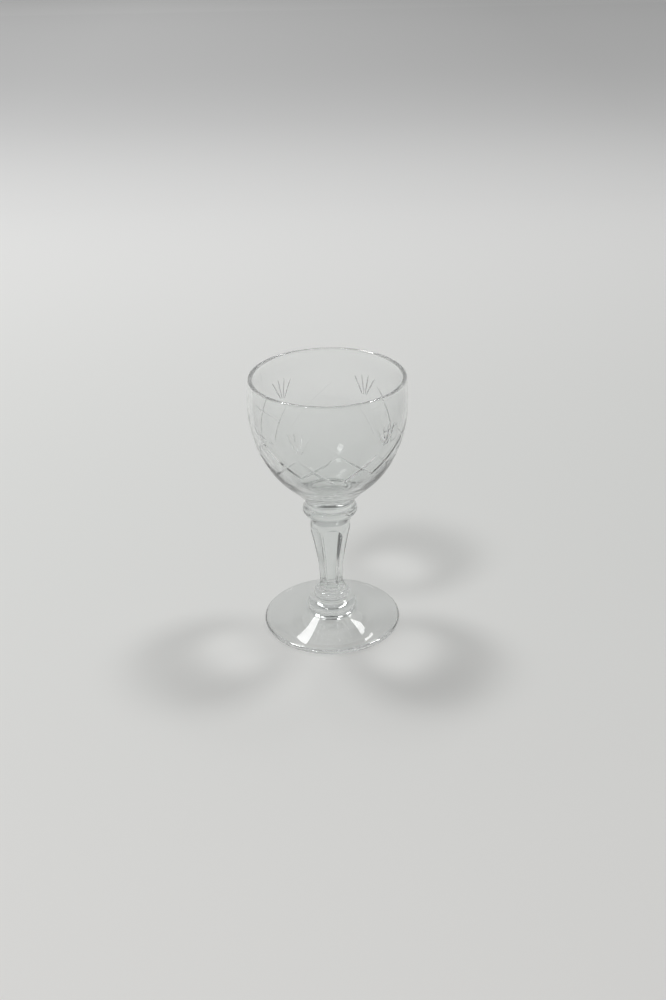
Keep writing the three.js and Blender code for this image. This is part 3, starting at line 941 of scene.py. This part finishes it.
levels = np.unique(np.round(np.concatenate([
    np.linspace(0, STEM_WAIST_Z, 30), np.linspace(STEM_WAIST_Z, SHOULDER_Z, 50),
    np.linspace(SHOULDER_Z, STEM_H, 30)]), 5))
blank_line = joined([(0, STEM_Z)], [(blank_r(z), STEM_Z + z) for z in levels], [(0, COLLAR_Z)])
panel_line = joined([(0, STEM_Z - OVER), (panel_corner(0), STEM_Z - OVER)],
                    [(panel_corner(z), STEM_Z + z) for z in levels],
                    [(panel_corner(STEM_H), COLLAR_Z + OVER), (0, COLLAR_Z + OVER)])
print("the stem's profiles have", len(blank_line), "and", len(panel_line), "points")

# %% [markdown]
# The panel form is turned with a dozen stops to a panel. Then each of its points is drawn in from the
# round to its panel, and in the middle of the panel by the hollow as well.

# %% Shape the stem
PANEL_STOPS = 12 * STEM_SIDES


def across_panel(x, y):
    """Where a point stands on its panel: the panel's azimuth, and the angle from the panel's middle."""
    azimuth, quarter, panel = np.arctan2(y, x), math.pi / 2, 2 * HALF_PANEL
    facing = np.round((azimuth - quarter) / panel) * panel + quarter
    return facing, azimuth - facing


def hollow_panels(mesh):
    """Draws the round form in to its panels, which are a little hollow across."""
    for vertex in mesh.vertices:
        radius = math.hypot(vertex.co.x, vertex.co.y)
        if radius > 1e-6:
            off = across_panel(vertex.co.x, vertex.co.y)[1]
            hollow = PANEL_HOLLOW * MM * (1 - (math.tan(off) / math.tan(HALF_PANEL)) ** 2)
            drawn = (radius * math.cos(HALF_PANEL) - hollow) / math.cos(off) / radius
            vertex.co.x *= drawn
            vertex.co.y *= drawn
    return mesh


stem = cut_away(turned("stem_blank", blank_line),
                hollow_panels(turned("stem_panels", panel_line, PANEL_STOPS, wheel_cut)), "INTERSECT")
sort_slots(stem)
mark_seats(stem, [STEM_Z, COLLAR_Z])
print("stem has", len(stem.polygons), "faces,", int((face_slots(stem) == CUT).sum()), "of them on panels")

# %% [markdown]
# A panel's normal is square to the panel's slope at that height, and leans with its hollow towards the
# panel's middle. The round ends take their normals from the blank's profile.

# %% Finish the stem
def panel_slope(z, near=0.01):
    below, above = max(z - near, 0), min(z + near, STEM_H)
    return (panel_distance(above) - panel_distance(below)) / (above - below)


def panel_normals(mesh):
    co, corner_vertex, corner_face = mesh_arrays(mesh)
    middles = face_middles(mesh)
    facing = across_panel(middles[:, 0], middles[:, 1])[0][corner_face]
    corner = co[corner_vertex]
    z = corner[:, 2] - STEM_Z
    slope = np.array([panel_slope(v) for v in z])
    half_width = np.array([panel_distance(v) for v in z]) * math.tan(HALF_PANEL)
    sideways = corner[:, 1] * np.cos(facing) - corner[:, 0] * np.sin(facing)
    lean = -2 * PANEL_HOLLOW * sideways / half_width ** 2
    normals = np.stack([np.cos(facing) - lean * np.sin(facing), np.sin(facing) + lean * np.cos(facing),
                        -slope], 1)
    return normals / np.linalg.norm(normals, axis=1)[:, None]


finish_piece(stem, "stem", np.where(on_cuts(stem), panel_normals(stem), turned_normals(stem, blank_line)))

# %% [markdown]
# ## Floor
#
# The glass stands on a plain pale surface that runs on far behind it. Lamps near by don't light it
# evenly: it is dimmer far back, and a little dimmer at right. More lamps could draw that, but each would
# add its own shadow. So that uneven light is painted into the floor's colour: a wide disc with painted
# light and shade that change slowly towards the back and from side to side.

# %% Lay the floor
FLOOR_RINGS, FLOOR_SPOKES = (0.25, 1.0, 14.0), 96
FLOOR_DROP = 0.02  # mm, so that floor and glass never share a plane
BACKWARD, RIGHTWARD = (0.122, 0.9925, 0), (0.9925, -0.122, 0)  # the room stands askew to the glass
# Painted light and shade on the floor: lighter just in front of the glass, darker far back.
FLOOR_PAINTED_LIGHT = (  # metres backward from the glass
    (-0.2, (0.81, 0.80, 0.785)), (0.0, (0.755, 0.76, 0.745)), (0.18, (0.765, 0.77, 0.755)),
    (0.36, (0.815, 0.815, 0.805)), (0.54, (0.80, 0.80, 0.795)), (0.84, grey(0.59)), (1.22, grey(0.54)),
    (1.76, grey(0.68)))
PAINTED_LIGHT_REACH = 1.8
# Painted light from side to side: the floor's colour is scaled up at left and down at right.
SIDE_REACH, LEFT_PAINTED_LIGHT, RIGHT_PAINTED_LIGHT = 0.3, 1.09, 0.885


def floor_material():
    material = bpy.data.materials.new("pale_paper_painted_light")
    material.use_nodes = True
    tree = material.node_tree
    paper = tree.nodes["Principled BSDF"]
    paper.inputs["Roughness"].default_value = 0.9
    paper.inputs["Specular IOR Level"].default_value = 0.1
    place = tree.nodes.new("ShaderNodeTexCoord").outputs["Object"]
    back = wire(tree, "ShaderNodeVectorMath", {0: place, 1: BACKWARD}, operation="DOT_PRODUCT")
    right = wire(tree, "ShaderNodeVectorMath", {0: place, 1: RIGHTWARD}, operation="DOT_PRODUCT")
    # The paper's base colour carries the painted light and shade, by distance back and by side.
    tone = ramp(tree, back.outputs["Value"], FLOOR_PAINTED_LIGHT, high=PAINTED_LIGHT_REACH, interpolation="B_SPLINE")
    side = wire(tree, "ShaderNodeMapRange", {
        "Value": right.outputs["Value"], "From Min": -SIDE_REACH, "From Max": SIDE_REACH,
        "To Min": LEFT_PAINTED_LIGHT, "To Max": RIGHT_PAINTED_LIGHT}).outputs["Result"]
    shade = wire(tree, "ShaderNodeVectorMath", {0: tone, "Scale": side}, operation="SCALE")
    tree.links.new(shade.outputs[0], paper.inputs["Base Color"])
    return material


def floor_disc():
    """A disc of rings round a middle point, all faces up."""
    z, n = -FLOOR_DROP * MM, FLOOR_SPOKES
    spots = [(r * math.cos(a), r * math.sin(a), z)
             for r in FLOOR_RINGS for a in np.linspace(0, 2 * math.pi, n, False)]
    faces = [(0, 1 + i, 1 + (i + 1) % n) for i in range(n)]
    for inner in range(1, 1 + n * (len(FLOOR_RINGS) - 1), n):
        outer = inner + n
        faces += [(inner + i, outer + i, outer + (i + 1) % n, inner + (i + 1) % n) for i in range(n)]
    mesh = bpy.data.meshes.new("floor_mesh")
    mesh.from_pydata([(0, 0, z)] + spots, [], faces)
    mesh.materials.append(floor_material())
    return mesh


floor = shown("floor", floor_disc())
print("floor reaches", FLOOR_RINGS[-1], "m")

# %% [markdown]
# ## Light
#
# Three soft boxes hang round the glass, two behind and one in front, all at a steep angle. Each throws
# its own ring-shaped shadow. Long strips on the ceiling behind the glass draw the bright stripes that run
# down the foot. The right strip is in two parts, so its stripe is broken. Area lamps are right for both,
# because glass mirrors a lamp's shape.

# %% Hang the lamps
LAMP_DISTANCE, LAMP_SIZE, LAMP_AIM_Z = 2.4, 0.384, 0.04
LAMPS = (("back_right", 24.7, 56.5, 12.8), ("back_left", 131, 61, 15.1), ("front_left", -133.9, 55.5, 13.1))
STRIP_HEIGHT, STRIP_WIDTH, STRIP_LIGHT = 2.0, 0.27, 9.0
STRIPS = (  # from and to, as shares of the strips' height
    ("strip_left", (-0.24, 0.49), (-0.17, 0.70)), ("strip_right", (0.45, 0.48), (0.415, 0.567)),
    ("strip_far_right", (0.38, 0.65), (0.363, 0.69)))


def soft_box(name, wide, high, watts, where, turn):
    light = bpy.data.lights.new(name, "AREA")
    light.shape, light.size, light.size_y, light.energy = "RECTANGLE", wide, high, watts
    lamp = shown(name, light)
    lamp.location, lamp.rotation_euler = where, turn
    print(name, "hangs at", [round(c, 2) for c in lamp.location])


for name, azimuth, elevation, watts in LAMPS:
    a, e = math.radians(azimuth), math.radians(elevation)
    towards = Vector((math.cos(a) * math.cos(e), math.sin(a) * math.cos(e), math.sin(e)))
    soft_box(name, LAMP_SIZE, LAMP_SIZE, watts, towards * LAMP_DISTANCE + Vector((0, 0, LAMP_AIM_Z)),
             towards.to_track_quat("Z", "Y").to_euler())

for name, start, end in STRIPS:
    start, end = (Vector((*p, 1)) * STRIP_HEIGHT for p in (start, end))
    length = (end - start).length
    soft_box(name, length, STRIP_WIDTH, STRIP_LIGHT * math.pi * length * STRIP_WIDTH, (start + end) / 2,
             (0, 0, math.atan2(end.y - start.y, end.x - start.x)))

# %% [markdown]
# ## The room around
#
# Clear glass has no colour of its own to show. Its bright and dark edges are the room, bent and
# mirrored. This room is plain grey, pale behind the glass up to the ceiling and dark in front of it. The
# world needs two ramps over the height for that, one for each side, mixed by the direction.

# %% Light the room
ROOM = (  # height of a direction from level to straight up, with the tones in front and behind
    (0.0, 0.20, 0.56), (0.4, 0.12, 0.52), (0.5, 0.09, 0.50), (0.64, 0.06, 0.50), (0.80, 0.05, 0.46),
    (0.89, 0.04, 0.12), (1.0, 0.04, 0.04))
FRONT_ENDS, BACK_BEGINS = 0.1, 0.5

world = bpy.data.worlds.new("grey_room")
bpy.context.scene.world = world
world.use_nodes = True
room = world.node_tree
direction = room.nodes.new("ShaderNodeTexCoord").outputs["Generated"]
up = wire(room, "ShaderNodeSeparateXYZ", {0: direction}).outputs["Z"]
back = wire(room, "ShaderNodeVectorMath", {0: direction, 1: BACKWARD}, operation="DOT_PRODUCT")
share = wire(room, "ShaderNodeMapRange", {
    "Value": back.outputs["Value"], "From Min": FRONT_ENDS, "From Max": BACK_BEGINS}).outputs["Result"]
front, behind = (ramp(room, up, [(row[0], (row[side], 1.01 * row[side], row[side])) for row in ROOM])
                 for side in (1, 2))
tone = wire(room, "ShaderNodeMix", {0: share, 6: front, 7: behind}, data_type="RGBA").outputs[2]
room.links.new(tone, room.nodes["Background"].inputs["Color"])
print("the room has", len(ROOM), "tones on each side")

# %% [markdown]
# ## Camera
#
# The ellipses of rim and foot give the camera: about 0.4 m away, 28 degrees down, turned 7 degrees from
# the model's front. The picture leans a little to the left, which is a small roll of the camera.

# %% Place the camera
CAMERA_REACH, CAMERA_HEIGHT, CAMERA_ASIDE = 331.8, 220.3, 1.0
CAMERA_AZIMUTH, CAMERA_PITCH, CAMERA_ROLL = -97.0, 28.08, 1.15
CAMERA_LENS, CAMERA_SENSOR = 43.5, 36.0

azimuth, pitch, roll = (math.radians(v) for v in (CAMERA_AZIMUTH, CAMERA_PITCH, CAMERA_ROLL))
level = Vector((-math.cos(azimuth), -math.sin(azimuth), 0))
aside = Vector((level.y, -level.x, 0))
ahead = level * math.cos(pitch) + Vector((0, 0, -math.sin(pitch)))
above = aside.cross(ahead)
across = aside * math.cos(roll) - above * math.sin(roll)
upward = above * math.cos(roll) + aside * math.sin(roll)
turn = Matrix((across, upward, -ahead)).transposed().to_4x4()
place = (aside * CAMERA_ASIDE - level * CAMERA_REACH + Vector((0, 0, CAMERA_HEIGHT))) * MM

camera_data = bpy.data.cameras.new("camera")
camera_data.lens, camera_data.sensor_width = CAMERA_LENS, CAMERA_SENSOR
camera_data.clip_start, camera_data.clip_end = 0.01, 100.0
camera = shown("camera", camera_data)
camera.matrix_world = Matrix.Translation(place) @ turn
bpy.context.scene.camera = camera
print("camera at", [round(c, 4) for c in camera.location])

# %% [markdown]
# ## How the light is followed
#
# Clear glass needs long light paths: a ray passes four skins of the bowl and bounces inside the thick
# stem. So the limits on bounces go up. Colours stay as they are written, with the Standard view.

# %% Set up light paths and view
scene = bpy.context.scene
scene.view_settings.view_transform = "Standard"
scene.cycles.max_bounces = 96
scene.cycles.transmission_bounces = 96
scene.cycles.glossy_bounces = 96
scene.cycles.transparent_max_bounces = 32
scene.cycles.sample_clamp_indirect = 4.0
print("a ray may bounce", scene.cycles.max_bounces, "times")
